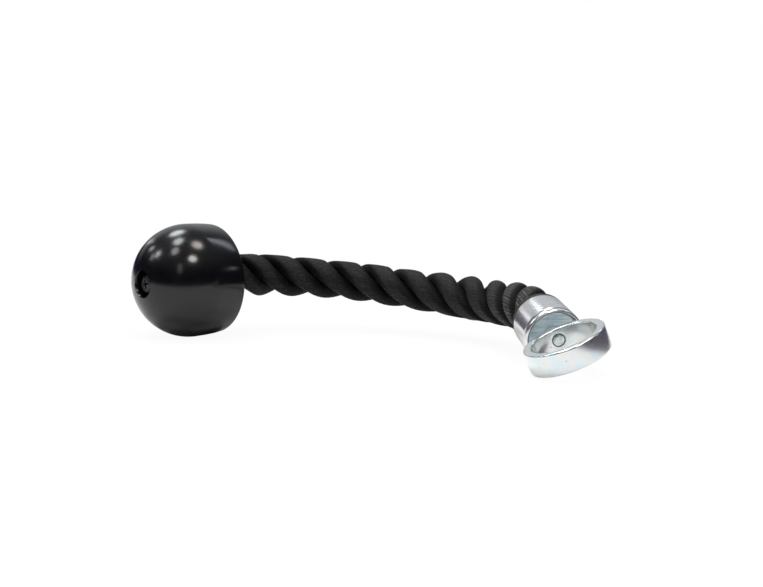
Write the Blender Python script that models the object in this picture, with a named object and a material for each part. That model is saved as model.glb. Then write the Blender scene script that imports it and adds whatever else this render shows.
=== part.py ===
"""Single-handle cable rope: a laid rope grip with a rubber end ball at one end and a
steel ferrule at the other, which carries a ring on a loose, freely turning rivet.

Metres, +Z up. The rope lies on a floor at z = 0, as it would on a bench. The ball and
everything in it is built along the ball's own axis, and the ferrule and the swivel along
the ferrule's, each under an empty that carries its place and slope.
"""
import math

import bmesh
import bpy
from mathutils import Vector

# Clearances
FIT_GAP = 0.0003
RUN_GAP = 0.0004
CUT_OVERRUN = 0.004

# Rope
ROPE_RADIUS = 0.0128
ROPE_STEP = 0.011
ROPE_MID_ROUTE = (
    (-0.0636, 0.1018, 0.0378),
    (-0.0291, 0.1025, 0.0359),
    (0.0046, 0.0944, 0.0336),
    (0.0335, 0.0808, 0.0307),
    (0.0599, 0.0627, 0.0291),
    (0.0825, 0.0401, 0.0276),
    (0.0982, 0.0153, 0.0262),
    (0.1063, -0.0044, 0.0257),
)

# End ball, measured from the pole of its dome along its axis
BALL_SPOT = (-0.1118, 0.0713)
BALL_HEADING = math.radians(41.6)
BALL_RADIUS = 0.0370
BALL_REAR_RADIUS = 0.0357
BALL_SKIRT = 0.0200
BALL_REAR_ROUND = 0.0018
BALL_WEB = 0.0090
RECESS_RADIUS = 0.0087
RECESS_DEPTH = 0.0095
RECESS_ROUND = 0.0008
SOCKET_SPREAD = 0.0036
SOCKET_TAPER = 0.0250

# Ball fastening: a screw through a washer and the rubber web into the wedge plug
WASHER_RADIUS = 0.0080
WASHER_THICKNESS = 0.0016
SCREW_RADIUS = 0.0024
SCREW_HEAD_RADIUS = 0.0062
SCREW_HEAD_HEIGHT = 0.0040
SCREW_LENGTH = 0.0280
SCREW_CROWN_SHARES = (0.55, 0.86)
CROSS_WIDTH = 0.0014
CROSS_SPAN = 0.0070
CROSS_DEPTH = 0.0026
PLUG_WIDE_RADIUS = 0.0100
PLUG_TIP_WALL = 0.0015
PLUG_LENGTH = 0.0230

# Ferrule, measured from its rope edge along its axis
FERRULE_SPOT = (0.1132, -0.0310)
FERRULE_HEADING = math.radians(-77.6)
FERRULE_SLOPE = math.radians(12.9)
FERRULE_WALL = 0.0029
FERRULE_FLARE = 0.0010
FERRULE_STRAIGHT = 0.0255
FERRULE_LENGTH = 0.0292
FERRULE_EDGE_ROUND = 0.0006
CHAMBER_STEP = 0.0014
LIP_FLAT = 0.0004
ROPE_INSET = 0.0115
TAPE_THICKNESS = 0.0009
TAPE_SHOW = 0.0030
RESIN_THICKNESS = 0.0020
PLATE_THICKNESS = 0.0025
PLATE_RECESS = 0.0045

# Swivel: a ball-headed rivet in a dished seat washer behind the end plate
PIVOT_BEHIND_PLATE = 0.0050
SEAT_THICKNESS = 0.0030
SEAT_RADIUS = 0.0120
RIVET_RADIUS = 0.0030
RIVET_END_RADIUS = 0.0037
RIVET_END_DEPTH = 0.0020
RIVET_HEAD_BACK = 0.0010
COLLAR_RADIUS = 0.0050
COLLAR_LENGTH = 0.0088

# Hanger ring, a slice of steel pipe
RING_STANDOFF = 0.0067
RING_RADIUS = 0.0248
RING_WALL = 0.0049
RING_WIDTH = 0.0140
RING_EDGE_ROUND = 0.0010

# Play of the rivet in the plate, and how the ring lies at rest
TILT_PLAY = math.radians(12.0)
REST_SWIVEL = math.radians(23.0)
REST_TILT = math.radians(9.0)

# Sides of the turned pieces
BALL_SIDES = 56
FERRULE_SIDES = 48
SMALL_SIDES = 32
RING_SIDES = 72
DOME_STEPS = 12
LIP_STEPS = 6
ROUND_STEPS = 3
ROUTE_SAMPLES = 24
SHARP_ANGLE = math.radians(35.0)


def clear_scene():
    for thing in list(bpy.data.objects):
        bpy.data.objects.remove(thing, do_unlink=True)


def material(name, colour, roughness, metallic=0.0):
    made = bpy.data.materials.new(name)
    made.use_nodes = True
    shader = made.node_tree.nodes["Principled BSDF"]
    shader.inputs["Base Color"].default_value = (*colour, 1.0)
    shader.inputs["Roughness"].default_value = roughness
    shader.inputs["Metallic"].default_value = metallic
    return made


def axis_frame(name, place, turn, parent=None):
    """An empty whose +X is the axis that its pieces are built along."""
    frame = bpy.data.objects.new(name, None)
    bpy.context.collection.objects.link(frame)
    frame.parent = parent
    frame.location = place
    frame.rotation_euler = turn
    return frame


def arc(centre_x, centre_r, radius, start, end, steps):
    """Points of an arc in the (x, r) plane, with angles measured from +x towards +r."""
    points = []
    for step in range(steps + 1):
        angle = start + (end - start) * step / steps
        points.append(
            (centre_x + radius * math.cos(angle), centre_r + radius * math.sin(angle))
        )
    return points


def add_object(name, mesh, finish, parent):
    mesh.materials.append(finish)
    mesh.shade_smooth()
    mesh.set_sharp_from_angle(angle=SHARP_ANGLE)
    thing = bpy.data.objects.new(name, mesh)
    bpy.context.collection.objects.link(thing)
    thing.parent = parent
    return thing


def turned(name, outline, finish, parent, sides, along="X", shift=(0.0, 0.0, 0.0)):
    """A turned solid from its outline of (distance along, radius) points, in order.

    An outline that starts and ends on the axis makes a solid piece, and any other one
    is joined back to its first point and makes a ring.
    """
    solid = outline[0][1] == 0.0 and outline[-1][1] == 0.0
    shape = bmesh.new()
    rows = []
    for distance, radius in outline:
        row = []
        for side in range(sides if radius > 0.0 else 1):
            angle = math.tau * side / sides
            across = radius * math.cos(angle)
            up = radius * math.sin(angle)
            place = (distance, across, up) if along == "X" else (across, up, distance)
            row.append(shape.verts.new(Vector(place) + Vector(shift)))
        rows.append(row)
    pairs = list(zip(rows, rows[1:]))
    if not solid:
        pairs.append((rows[-1], rows[0]))
    for first, second in pairs:
        for side in range(sides):
            after = (side + 1) % sides
            if len(first) == 1:
                shape.faces.new((first[0], second[side], second[after]))
            elif len(second) == 1:
                shape.faces.new((first[side], second[0], first[after]))
            else:
                shape.faces.new((first[side], second[side], second[after], first[after]))
    bmesh.ops.recalc_face_normals(shape, faces=shape.faces)
    mesh = bpy.data.meshes.new(name)
    shape.to_mesh(mesh)
    shape.free()
    return add_object(name, mesh, finish, parent)


def box(name, low, high, finish, parent):
    shape = bmesh.new()
    bmesh.ops.create_cube(shape, size=1.0)
    size = Vector(high) - Vector(low)
    middle = (Vector(high) + Vector(low)) / 2
    for vert in shape.verts:
        vert.co = Vector(a * b for a, b in zip(vert.co, size)) + middle
    mesh = bpy.data.meshes.new(name)
    shape.to_mesh(mesh)
    shape.free()
    return add_object(name, mesh, finish, parent)


def cut(piece, cutter):
    """Cuts the cutter's shape out of the piece and hides the cutter."""
    cutter.hide_render = True
    cutter.display_type = "WIRE"
    difference = piece.modifiers.new("cut_" + cutter.name, "BOOLEAN")
    difference.operation = "DIFFERENCE"
    difference.object = cutter
    difference.solver = "EXACT"


def smooth_route(points, step):
    """Points at an even step along a smooth curve through the given ones."""
    points = [Vector(p) for p in points]
    ends = [points[0] * 2 - points[1], *points, points[-1] * 2 - points[-2]]
    fine = []
    for before, start, end, after in zip(ends, ends[1:], ends[2:], ends[3:]):
        for sample in range(ROUTE_SAMPLES):
            t = sample / ROUTE_SAMPLES
            twice = 2 * start + (end - before) * t
            twice += (2 * before - 5 * start + 4 * end - after) * t**2
            twice += (3 * start - before - 3 * end + after) * t**3
            fine.append(twice / 2)
    fine.append(points[-1])
    total = sum((b - a).length for a, b in zip(fine, fine[1:]))
    count = max(2, round(total / step))
    wanted = [total * i / count for i in range(1, count)]
    even = [fine[0]]
    passed = 0.0
    for a, b in zip(fine, fine[1:]):
        run = (b - a).length
        while wanted and passed + run >= wanted[0]:
            even.append(a.lerp(b, (wanted.pop(0) - passed) / run))
        passed += run
    even.append(fine[-1])
    return even, total


def rope_mouth():
    """Radius of the ball's bore round the rope."""
    return ROPE_RADIUS + RUN_GAP


def ferrule_bore():
    """Radius of the ferrule's bore round the taped rope."""
    return ROPE_RADIUS + FIT_GAP + TAPE_THICKNESS + FIT_GAP


def ball_sizes():
    """Distances from the dome's pole along the ball's axis."""
    rear = BALL_RADIUS + BALL_SKIRT
    web = RECESS_DEPTH + BALL_WEB
    plug_start = web + FIT_GAP
    return rear, web, plug_start, plug_start + PLUG_LENGTH


def make_ball(frame, rubber):
    rear, web, _, _ = ball_sizes()
    opening = math.asin((RECESS_RADIUS + RECESS_ROUND) / BALL_RADIUS)
    dome = arc(BALL_RADIUS, 0.0, BALL_RADIUS, math.pi - opening, math.pi / 2, DOME_STEPS)
    rear_edge = arc(
        rear - BALL_REAR_ROUND,
        BALL_REAR_RADIUS - BALL_REAR_ROUND,
        BALL_REAR_ROUND,
        math.pi / 2,
        0.0,
        ROUND_STEPS,
    )
    mouth = rope_mouth()
    outline = [
        *dome,
        *rear_edge,
        (rear, mouth + BALL_REAR_ROUND),
        (rear - BALL_REAR_ROUND, mouth),
        (web + SOCKET_TAPER, mouth),
        (web, mouth + SOCKET_SPREAD),
        (web, SCREW_RADIUS + RUN_GAP),
        (RECESS_DEPTH, SCREW_RADIUS + RUN_GAP),
        (RECESS_DEPTH, RECESS_RADIUS),
        (dome[0][0] + RECESS_ROUND, RECESS_RADIUS),
    ]
    return turned("end_ball", outline, rubber, frame, BALL_SIDES)


def make_ball_screw(frame, blackened, zinc):
    washer_face = RECESS_DEPTH - FIT_GAP
    turned(
        "ball_washer",
        [
            (washer_face, SCREW_RADIUS + RUN_GAP),
            (washer_face, WASHER_RADIUS),
            (washer_face - WASHER_THICKNESS, WASHER_RADIUS),
            (washer_face - WASHER_THICKNESS, SCREW_RADIUS + RUN_GAP),
        ],
        zinc,
        frame,
        SMALL_SIDES,
    )
    seat = washer_face - WASHER_THICKNESS - FIT_GAP
    crown = seat - SCREW_HEAD_HEIGHT
    shoulder = crown + SCREW_HEAD_HEIGHT / 2
    crown_share, bulge_share = SCREW_CROWN_SHARES
    screw = turned(
        "ball_screw",
        [
            (crown, 0.0),
            (crown, SCREW_HEAD_RADIUS * crown_share),
            ((crown + shoulder) / 2, SCREW_HEAD_RADIUS * bulge_share),
            (shoulder, SCREW_HEAD_RADIUS),
            (seat, SCREW_HEAD_RADIUS),
            (seat, SCREW_RADIUS),
            (seat + SCREW_LENGTH - SCREW_RADIUS, SCREW_RADIUS),
            (seat + SCREW_LENGTH, 0.0),
        ],
        blackened,
        frame,
        SMALL_SIDES,
    )
    for name, wide, tall in (
        ("cross_slot_flat", CROSS_SPAN, CROSS_WIDTH),
        ("cross_slot_upright", CROSS_WIDTH, CROSS_SPAN),
    ):
        slot = box(
            name,
            (crown - CUT_OVERRUN, -wide / 2, -tall / 2),
            (crown + CROSS_DEPTH, wide / 2, tall / 2),
            blackened,
            frame,
        )
        cut(screw, slot)


def make_rope_anchor(frame, nylon, rope_black):
    _, web, start, end = ball_sizes()
    bore = SCREW_RADIUS + FIT_GAP
    tip = bore + PLUG_TIP_WALL
    turned(
        "wedge_plug",
        [
            (start, bore),
            (start, PLUG_WIDE_RADIUS),
            (end, tip),
            (end, bore),
        ],
        nylon,
        frame,
        SMALL_SIDES,
    )
    wide = rope_mouth() + SOCKET_SPREAD - RUN_GAP
    fall = SOCKET_SPREAD / SOCKET_TAPER
    turned(
        "splayed_rope_end",
        [
            (start, PLUG_WIDE_RADIUS + RUN_GAP),
            (start, wide - fall * (start - web)),
            (end, wide - fall * (end - web)),
            (end, tip + RUN_GAP),
        ],
        rope_black,
        frame,
        SMALL_SIDES,
    )


def make_rope(ball_frame, ferrule_frame, rope_black):
    """The rope from the splayed end in the ball to its cut end in the ferrule."""
    rear, _, _, plug_end = ball_sizes()
    from_ball = ball_frame.matrix_world
    into_ferrule = ferrule_frame.matrix_world
    start = plug_end + FIT_GAP
    leave = rear + ROPE_RADIUS / 2
    enter = -TAPE_SHOW - ROPE_RADIUS / 2
    straight_start = [from_ball @ Vector((x, 0.0, 0.0)) for x in (start, leave)]
    straight_end = [into_ferrule @ Vector((x, 0.0, 0.0)) for x in (enter, ROPE_INSET)]
    free, length = smooth_route([straight_start[1], *ROPE_MID_ROUTE, straight_end[0]], ROPE_STEP)
    places = [straight_start[0], *free, straight_end[1]]
    curve = bpy.data.curves.new("rope", "CURVE")
    curve.dimensions = "3D"
    spline = curve.splines.new("POLY")
    spline.points.add(len(places) - 1)
    for point, place in zip(spline.points, places):
        point.co = (*place, 1.0)
    curve.bevel_depth = ROPE_RADIUS
    curve.bevel_resolution = 4
    curve.use_fill_caps = True
    curve.materials.append(rope_black)
    rope = bpy.data.objects.new("rope", curve)
    bpy.context.collection.objects.link(rope)
    print("free rope between ball and ferrule", round(length, 4), "points", len(places))
    return rope


def ferrule_places():
    """Distances from the ferrule's rope edge along its axis."""
    plate_out = FERRULE_LENGTH - PLATE_RECESS
    plate_in = plate_out - PLATE_THICKNESS
    return plate_in, plate_out, plate_in - PIVOT_BEHIND_PLATE


def hole_radius():
    """The end plate's hole, which lets the rivet lean by its play."""
    reach = PIVOT_BEHIND_PLATE + PLATE_THICKNESS
    return RIVET_RADIUS / math.cos(TILT_PLAY) + reach * math.tan(TILT_PLAY) + RUN_GAP


def seat_sphere_radius():
    return math.hypot(hole_radius(), PIVOT_BEHIND_PLATE)


def ferrule_outline():
    plate_in, _, _ = ferrule_places()
    edge = FERRULE_EDGE_ROUND
    bore = ferrule_bore()
    outside = bore + FERRULE_WALL
    chamber = bore + CHAMBER_STEP
    crest = chamber + LIP_FLAT
    roll = outside + FERRULE_FLARE - crest
    lip = []
    for step in range(LIP_STEPS + 1):
        angle = math.pi / 2 * step / LIP_STEPS
        along = FERRULE_STRAIGHT + (FERRULE_LENGTH - FERRULE_STRAIGHT) * math.sin(angle)
        lip.append((along, crest + roll * math.cos(angle)))
    return [
        (0.0, bore + edge),
        (0.0, outside - edge),
        (edge, outside),
        *lip,
        (FERRULE_LENGTH - LIP_FLAT, chamber),
        (plate_in - FIT_GAP, chamber),
        (plate_in - FIT_GAP, bore),
        (edge, bore),
    ]


def ferrule_height():
    """Height of the ferrule's rope edge with its lip resting on the floor."""
    return max(
        radius * math.cos(FERRULE_SLOPE) + along * math.sin(FERRULE_SLOPE)
        for along, radius in ferrule_outline()
    )


def make_ferrule(frame, zinc):
    turned("ferrule", ferrule_outline(), zinc, frame, FERRULE_SIDES)


def make_rope_tape(frame, tape):
    inner = ROPE_RADIUS + FIT_GAP
    turned(
        "rope_tape",
        [
            (-TAPE_SHOW, inner),
            (-TAPE_SHOW, inner + TAPE_THICKNESS),
            (ROPE_INSET, inner + TAPE_THICKNESS),
            (ROPE_INSET, inner),
        ],
        tape,
        frame,
        FERRULE_SIDES,
    )


def make_socket_resin(frame, resin):
    start = ROPE_INSET + FIT_GAP
    rim = ferrule_bore() - FIT_GAP
    turned(
        "socket_resin",
        [
            (start, 0.0),
            (start, rim),
            (start + RESIN_THICKNESS, rim),
            (start + RESIN_THICKNESS, 0.0),
        ],
        resin,
        frame,
        FERRULE_SIDES,
    )


def make_end_plate(frame, zinc):
    plate_in, plate_out, _ = ferrule_places()
    rim = ferrule_bore() + CHAMBER_STEP - FIT_GAP
    turned(
        "end_plate",
        [
            (plate_in, hole_radius()),
            (plate_in, rim),
            (plate_out, rim),
            (plate_out, hole_radius()),
        ],
        zinc,
        frame,
        FERRULE_SIDES,
    )


def make_seat_washer(frame, steel):
    """The dished washer, in a frame whose origin is the pivot."""
    plate_face = PIVOT_BEHIND_PLATE - FIT_GAP
    back = plate_face - SEAT_THICKNESS
    sphere = seat_sphere_radius()
    dish = []
    for step in range(DOME_STEPS // 2 + 1):
        x = back + SEAT_THICKNESS * step / (DOME_STEPS // 2)
        dish.append((x, math.sqrt(sphere**2 - x**2)))
    turned(
        "seat_washer",
        [*dish, (plate_face, SEAT_RADIUS), (back, SEAT_RADIUS)],
        steel,
        frame,
        FERRULE_SIDES,
    )


def ring_places():
    """Distances from the pivot to the ring's outer face and its centre."""
    _, _, pivot = ferrule_places()
    face = FERRULE_LENGTH + RING_STANDOFF - pivot
    return face, face + RING_RADIUS


def make_rivet(frame, steel):
    face, _ = ring_places()
    sphere = seat_sphere_radius() - RUN_GAP
    neck = math.acos(RIVET_RADIUS / sphere)
    back = math.asin(RIVET_HEAD_BACK / sphere)
    head = [
        (sphere * math.sin(angle), sphere * math.cos(angle))
        for angle in (
            -back + (neck + back) * step / DOME_STEPS for step in range(DOME_STEPS + 1)
        )
    ]
    tip = face + RING_WALL
    turned(
        "swivel_rivet",
        [
            (head[0][0], 0.0),
            *head,
            (tip - RIVET_END_DEPTH, RIVET_RADIUS),
            (tip - FIT_GAP, RIVET_END_RADIUS),
            (tip, RIVET_END_RADIUS - FIT_GAP),
            (tip, 0.0),
        ],
        steel,
        frame,
        SMALL_SIDES,
    )


def make_collar(frame, zinc):
    face, _ = ring_places()
    end = face - FIT_GAP
    start = end - COLLAR_LENGTH
    bore = RIVET_RADIUS + FIT_GAP
    turned(
        "spacer_collar",
        [(start, bore), (start, COLLAR_RADIUS), (end, COLLAR_RADIUS), (end, bore)],
        zinc,
        frame,
        SMALL_SIDES,
    )


def make_hanger_ring(frame, zinc):
    face, centre = ring_places()
    half = RING_WIDTH / 2
    edge = RING_EDGE_ROUND
    outer = RING_RADIUS
    inner = RING_RADIUS - RING_WALL
    outline = [
        (-half + edge, outer),
        (half - edge, outer),
        (half, outer - edge),
        (half, inner + edge),
        (half - edge, inner),
        (-half + edge, inner),
        (-half, inner + edge),
        (-half, outer - edge),
    ]
    ring = turned(
        "hanger_ring", outline, zinc, frame, RING_SIDES, along="Z", shift=(centre, 0.0, 0.0)
    )
    bore = RIVET_RADIUS + RUN_GAP
    wide = RIVET_END_RADIUS + RUN_GAP
    tip = face + RING_WALL
    drill = turned(
        "rivet_hole",
        [
            (face - CUT_OVERRUN, 0.0),
            (face - CUT_OVERRUN, bore),
            (tip - RIVET_END_DEPTH - FIT_GAP, bore),
            (tip - FIT_GAP, wide),
            (tip + CUT_OVERRUN, wide),
            (tip + CUT_OVERRUN, 0.0),
        ],
        zinc,
        frame,
        SMALL_SIDES,
    )
    cut(ring, drill)


def main():
    clear_scene()
    rubber = material("moulded_rubber", (0.012, 0.012, 0.013), 0.28)
    rope_black = material("black_rope_fibre", (0.020, 0.020, 0.021), 0.85)
    blackened = material("blackened_steel", (0.050, 0.050, 0.052), 0.40, 1.0)
    zinc = material("bright_zinc_plate", (0.720, 0.740, 0.760), 0.22, 1.0)
    steel = material("turned_steel", (0.560, 0.550, 0.530), 0.35, 1.0)
    nylon = material("natural_nylon", (0.600, 0.580, 0.500), 0.50)
    tape = material("black_cloth_tape", (0.030, 0.030, 0.028), 0.75)
    resin = material("set_resin", (0.300, 0.220, 0.110), 0.35)

    ball_place = (*BALL_SPOT, BALL_RADIUS)
    ball_frame = axis_frame("ball_axis", ball_place, (0.0, 0.0, BALL_HEADING))
    pole_frame = axis_frame("ball_pole", (-BALL_RADIUS, 0.0, 0.0), (0.0, 0.0, 0.0), ball_frame)
    ferrule_frame = axis_frame(
        "ferrule_axis",
        (*FERRULE_SPOT, ferrule_height()),
        (0.0, FERRULE_SLOPE, FERRULE_HEADING),
    )
    _, _, pivot = ferrule_places()
    swivel_frame = axis_frame(
        "swivel_axis", (pivot, 0.0, 0.0), (REST_SWIVEL, 0.0, 0.0), ferrule_frame
    )
    tilt_frame = axis_frame("tilt_axis", (0.0, 0.0, 0.0), (0.0, -REST_TILT, 0.0), swivel_frame)
    bpy.context.view_layer.update()

    make_ball(pole_frame, rubber)
    make_ball_screw(pole_frame, blackened, zinc)
    make_rope_anchor(pole_frame, nylon, rope_black)
    make_rope(pole_frame, ferrule_frame, rope_black)
    make_ferrule(ferrule_frame, zinc)
    make_rope_tape(ferrule_frame, tape)
    make_socket_resin(ferrule_frame, resin)
    make_end_plate(ferrule_frame, zinc)
    make_seat_washer(swivel_frame, steel)
    make_rivet(tilt_frame, steel)
    make_collar(tilt_frame, zinc)
    make_hanger_ring(tilt_frame, zinc)
    bpy.context.view_layer.update()

    for frame in (pole_frame, ferrule_frame, swivel_frame, tilt_frame):
        place = frame.matrix_world
        print(
            frame.name,
            [round(v, 6) for v in place.translation],
            "x",
            [round(v, 6) for v in place.col[0][:3]],
            "y",
            [round(v, 6) for v in place.col[1][:3]],
            "z",
            [round(v, 6) for v in place.col[2][:3]],
        )


main()
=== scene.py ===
# %% [markdown]
# # A cable rope handle with a ball, a ferrule and a swivelling ring
#
# The imported solids are loaded first, and every visible piece is then modelled again in
# finer detail in the same place. The box of the solids is kept.

import math

import bmesh
import bpy
import numpy as np
from mathutils import Matrix, Vector


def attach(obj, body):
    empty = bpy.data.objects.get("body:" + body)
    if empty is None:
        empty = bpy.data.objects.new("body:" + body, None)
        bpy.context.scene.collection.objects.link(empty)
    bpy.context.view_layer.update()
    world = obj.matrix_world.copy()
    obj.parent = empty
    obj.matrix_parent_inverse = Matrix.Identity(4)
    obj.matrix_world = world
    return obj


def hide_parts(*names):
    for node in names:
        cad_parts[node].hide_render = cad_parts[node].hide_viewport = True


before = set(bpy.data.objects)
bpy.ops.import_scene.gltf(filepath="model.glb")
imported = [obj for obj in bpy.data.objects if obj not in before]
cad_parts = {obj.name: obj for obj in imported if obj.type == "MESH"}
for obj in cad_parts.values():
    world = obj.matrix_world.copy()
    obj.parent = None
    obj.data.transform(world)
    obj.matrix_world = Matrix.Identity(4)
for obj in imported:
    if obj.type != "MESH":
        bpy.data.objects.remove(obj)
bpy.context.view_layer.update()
MM = 0.001

# %% [markdown]
# ## The camera
#
# The object was photographed almost level, with a long lens, from just above the table.
# The lens was worked out from how much smaller the far end looks than the near end, and
# it is kept as a length in pixels, because it was fitted to a picture 763 pixels wide.

# %% Camera
FRAME_WIDE = 763
FOCAL_PIXELS = 1808.3
LOOKS_DOWN = 6.94
camera_data = bpy.data.cameras.new("camera")
camera_data.sensor_width = 36.0
camera_data.lens = FOCAL_PIXELS / FRAME_WIDE * camera_data.sensor_width
camera_data.clip_end = 60.0
camera = bpy.data.objects.new("camera", camera_data)
bpy.context.scene.collection.objects.link(camera)
camera.location = (0.0164, -1.1206, 0.1732)
camera.rotation_euler = (math.radians(90.0 - LOOKS_DOWN), 0.0, 0.0)
bpy.context.scene.camera = camera
print("lens", round(camera_data.lens, 1), "mm")

# %% [markdown]
# ## Places of the axes
#
# Everything on this object is turned, so a piece needs only the axis it is turned
# about. There are three: the ball's, the ferrule's, and that of the leaning rivet,
# which carries the ring.

# %% Axes of the turned pieces
PIVOT = Vector((0.1168, -0.047375, 0.019738))
PIVOT_TO_RING = 43.5 * MM


def frame_matrix(origin, along, up):
    """A frame whose Z runs along the axis, with its X as near as can be to up."""
    z = Vector(along).normalized()
    x = (Vector(up) - z * Vector(up).dot(z)).normalized()
    y = z.cross(x)
    turn = Matrix((x, y, z)).transposed().to_4x4()
    return Matrix.Translation(Vector(origin)) @ turn


BALL = frame_matrix((-0.139469, 0.046735, 0.037), (0.747798, 0.663926, 0.0), (0, 0, 1))
FERRULE = frame_matrix((0.1132, -0.031, 0.023578), (0.209316, -0.952022, -0.22325), (0, 0, 1))
RIVET = frame_matrix(PIVOT, (0.153944, -0.984825, -0.080137), (-0.366077, -0.13218, 0.92115))
RING_CENTRE = PIVOT + RIVET.to_3x3() @ Vector((0, 0, PIVOT_TO_RING))
RING = frame_matrix(RING_CENTRE, RIVET.col[0][:3], RIVET.col[2][:3])
print("ring centre", [round(v, 4) for v in RING_CENTRE])

# %% [markdown]
# ## Helpers for colours and materials
#
# Colours are given as they look on a screen, so they are written as hex values
# and turned into the linear values that the shader works with. One small function adds
# a node, sets it and links it, and every material below is built with it.

# %% Colour and node helpers


def hex_colour(text):
    """A colour as it looks on a screen, such as 3A3A3A, as linear values."""
    channels = [int(text[i : i + 2], 16) / 255 for i in (0, 2, 4)]
    linear = [c / 12.92 if c <= 0.04045 else ((c + 0.055) / 1.055) ** 2.4 for c in channels]
    return (*linear, 1.0)


def add_node(tree, kind, settings=None, inputs=None):
    """Adds a node. An input is a plain value, or another node's output to link."""
    node = tree.nodes.new(kind)
    for key, value in (settings or {}).items():
        setattr(node, key, value)
    for key, value in (inputs or {}).items():
        if isinstance(value, bpy.types.NodeSocket):
            tree.links.new(value, node.inputs[key])
        else:
            node.inputs[key].default_value = value
    return node


def new_material(name, **constants):
    """An empty Principled material. The constants go straight onto the shader."""
    made = bpy.data.materials.new(name)
    made.use_nodes = True
    shader = made.node_tree.nodes["Principled BSDF"]
    for key, value in constants.items():
        shader.inputs[key.replace("_", " ")].default_value = value
    return made, made.node_tree, shader


def ramp(tree, source, stops):
    """A colour ramp with stops of (place, hex colour)."""
    node = add_node(tree, "ShaderNodeValToRGB", inputs={"Fac": source})
    elements = node.color_ramp.elements
    while len(elements) < len(stops):
        elements.new(0.5)
    for element, (place, colour) in zip(elements, stops):
        element.position = place
        element.color = hex_colour(colour)
    return node.outputs["Color"]


print("mid grey as a linear value:", round(hex_colour("808080")[0], 3))

# %% [markdown]
# ## The rope's route
#
# A cord is settled before anything else. This one is shown from end to end: it leaves
# the ball level, rises a little, bends round and goes down into the ferrule. The points
# are the same ones as in the solid model, with one smooth curve through them.

# %% Rope route
ROPE_MID_ROUTE = (
    (-0.0636, 0.1018, 0.0378),
    (-0.0291, 0.1025, 0.0359),
    (0.0046, 0.0944, 0.0336),
    (0.0335, 0.0808, 0.0307),
    (0.0599, 0.0627, 0.0291),
    (0.0825, 0.0401, 0.0276),
    (0.0982, 0.0153, 0.0262),
    (0.1063, -0.0044, 0.0257),
)
BALL_REAR = 57.0 * MM
ROPE_START = 42.1 * MM
STRAIGHT_AT_BALL = 6.4 * MM
STRAIGHT_AT_FERRULE = 9.4 * MM
CUT_END = 11.5 * MM
ROPE_STEP = 1.7 * MM
EVENING_PASSES = 6


def smooth_curve(points, samples=24):
    """A Catmull-Rom curve through the points."""
    points = [Vector(p) for p in points]
    ends = [points[0] * 2 - points[1], *points, points[-1] * 2 - points[-2]]
    fine = []
    for before, start, end, after in zip(ends, ends[1:], ends[2:], ends[3:]):
        for sample in range(samples):
            t = sample / samples
            twice = 2 * start + (end - before) * t
            twice += (2 * before - 5 * start + 4 * end - after) * t**2
            twice += (3 * start - before - 3 * end + after) * t**3
            fine.append(twice / 2)
    return [*fine, points[-1]]


def even_steps(points, step):
    """The same line as an array of points at an even step."""
    line = np.array([list(p) for p in points])
    run = np.concatenate([[0.0], np.cumsum(np.linalg.norm(np.diff(line, axis=0), axis=1))])
    count = max(2, round(run[-1] / step))
    wanted = np.linspace(0.0, run[-1], count + 1)
    return wanted, np.stack([np.interp(wanted, run, line[:, i]) for i in range(3)], axis=1)


bore_start = BALL @ Vector((0, 0, ROPE_START))
leaves_ball = BALL @ Vector((0, 0, BALL_REAR + STRAIGHT_AT_BALL))
enters_tape = FERRULE @ Vector((0, 0, -STRAIGHT_AT_FERRULE))
cut_end = FERRULE @ Vector((0, 0, CUT_END))
between = smooth_curve([leaves_ball, *ROPE_MID_ROUTE, enters_tape])
rope_run, rope_line = even_steps([bore_start, *between, cut_end], ROPE_STEP)
for _ in range(EVENING_PASSES):
    rope_line[1:-1] = (rope_line[:-2] + 2 * rope_line[1:-1] + rope_line[2:]) / 4
print("whole rope", round(float(rope_run[-1]), 4), "m, points", len(rope_line))

# %% [markdown]
# ## The laid rope
#
# Three strands are laid together to the right, and each strand is itself twisted from
# about twenty yarns the other way, so that the yarns on top run almost along the rope.
# A plain tube with a bump map would never show the deep grooves, so each strand is a
# real tube: its middle winds round the route, its section is a little flattened, and
# its rows of points follow the yarns, six to a yarn, so that every yarn is a ridge.
#
# Where the rope bends, the grooves close on the inside and open on the outside. The rope
# is thicker just before the ball and the ferrule, where the strands are pushed together,
# and there the yarns stand out most. How much of each was measured from the outline.

# %% Laid strands
STRANDS = 3
ROPE_CREST = 13.4 * MM
STRAND_DEEP = 6.2 * MM
STRAND_WIDE = 6.3 * MM
STRAND_OFF = ROPE_CREST - STRAND_DEEP
YARNS = 21
YARN_HEIGHT = 0.20 * MM
YARN_HEIGHT_END = 0.95 * MM
ROWS_PER_YARN = 6
# The strands' turn in radians: where it starts, per metre, and how it tightens on the way
LAY_START = -6.879
LAY_RATE = 86.62
LAY_DRIFT = 1.13
# How far apart the strands' own maps are, so that no two strands look alike
APART = 1.37
# The yarns' turn in a strand, as a share of the strands' own
YARN_RATE = -1.15
# Where the yarns begin to stand out towards the ferrule, and where they do so in full
YARNS_RISE = (0.21, 0.27)

tangents = np.gradient(rope_line, axis=0)
tangents /= np.linalg.norm(tangents, axis=1)[:, None]
side = np.zeros_like(rope_line)
side[0] = np.cross(tangents[0], (0, 0, 1))
for i in range(1, len(side)):
    side[i] = side[i - 1] - tangents[i] * side[i - 1].dot(tangents[i])
    side[i] /= np.linalg.norm(side[i])
lift = np.cross(tangents, side)
lay_angle = LAY_START + LAY_RATE * rope_run + LAY_DRIFT * rope_run**2


def ease(value, low, high):
    """Goes smoothly from 0 to 1 between low and high."""
    t = np.clip((value - low) / (high - low), 0.0, 1.0)
    return t * t * (3 - 2 * t)


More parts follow.
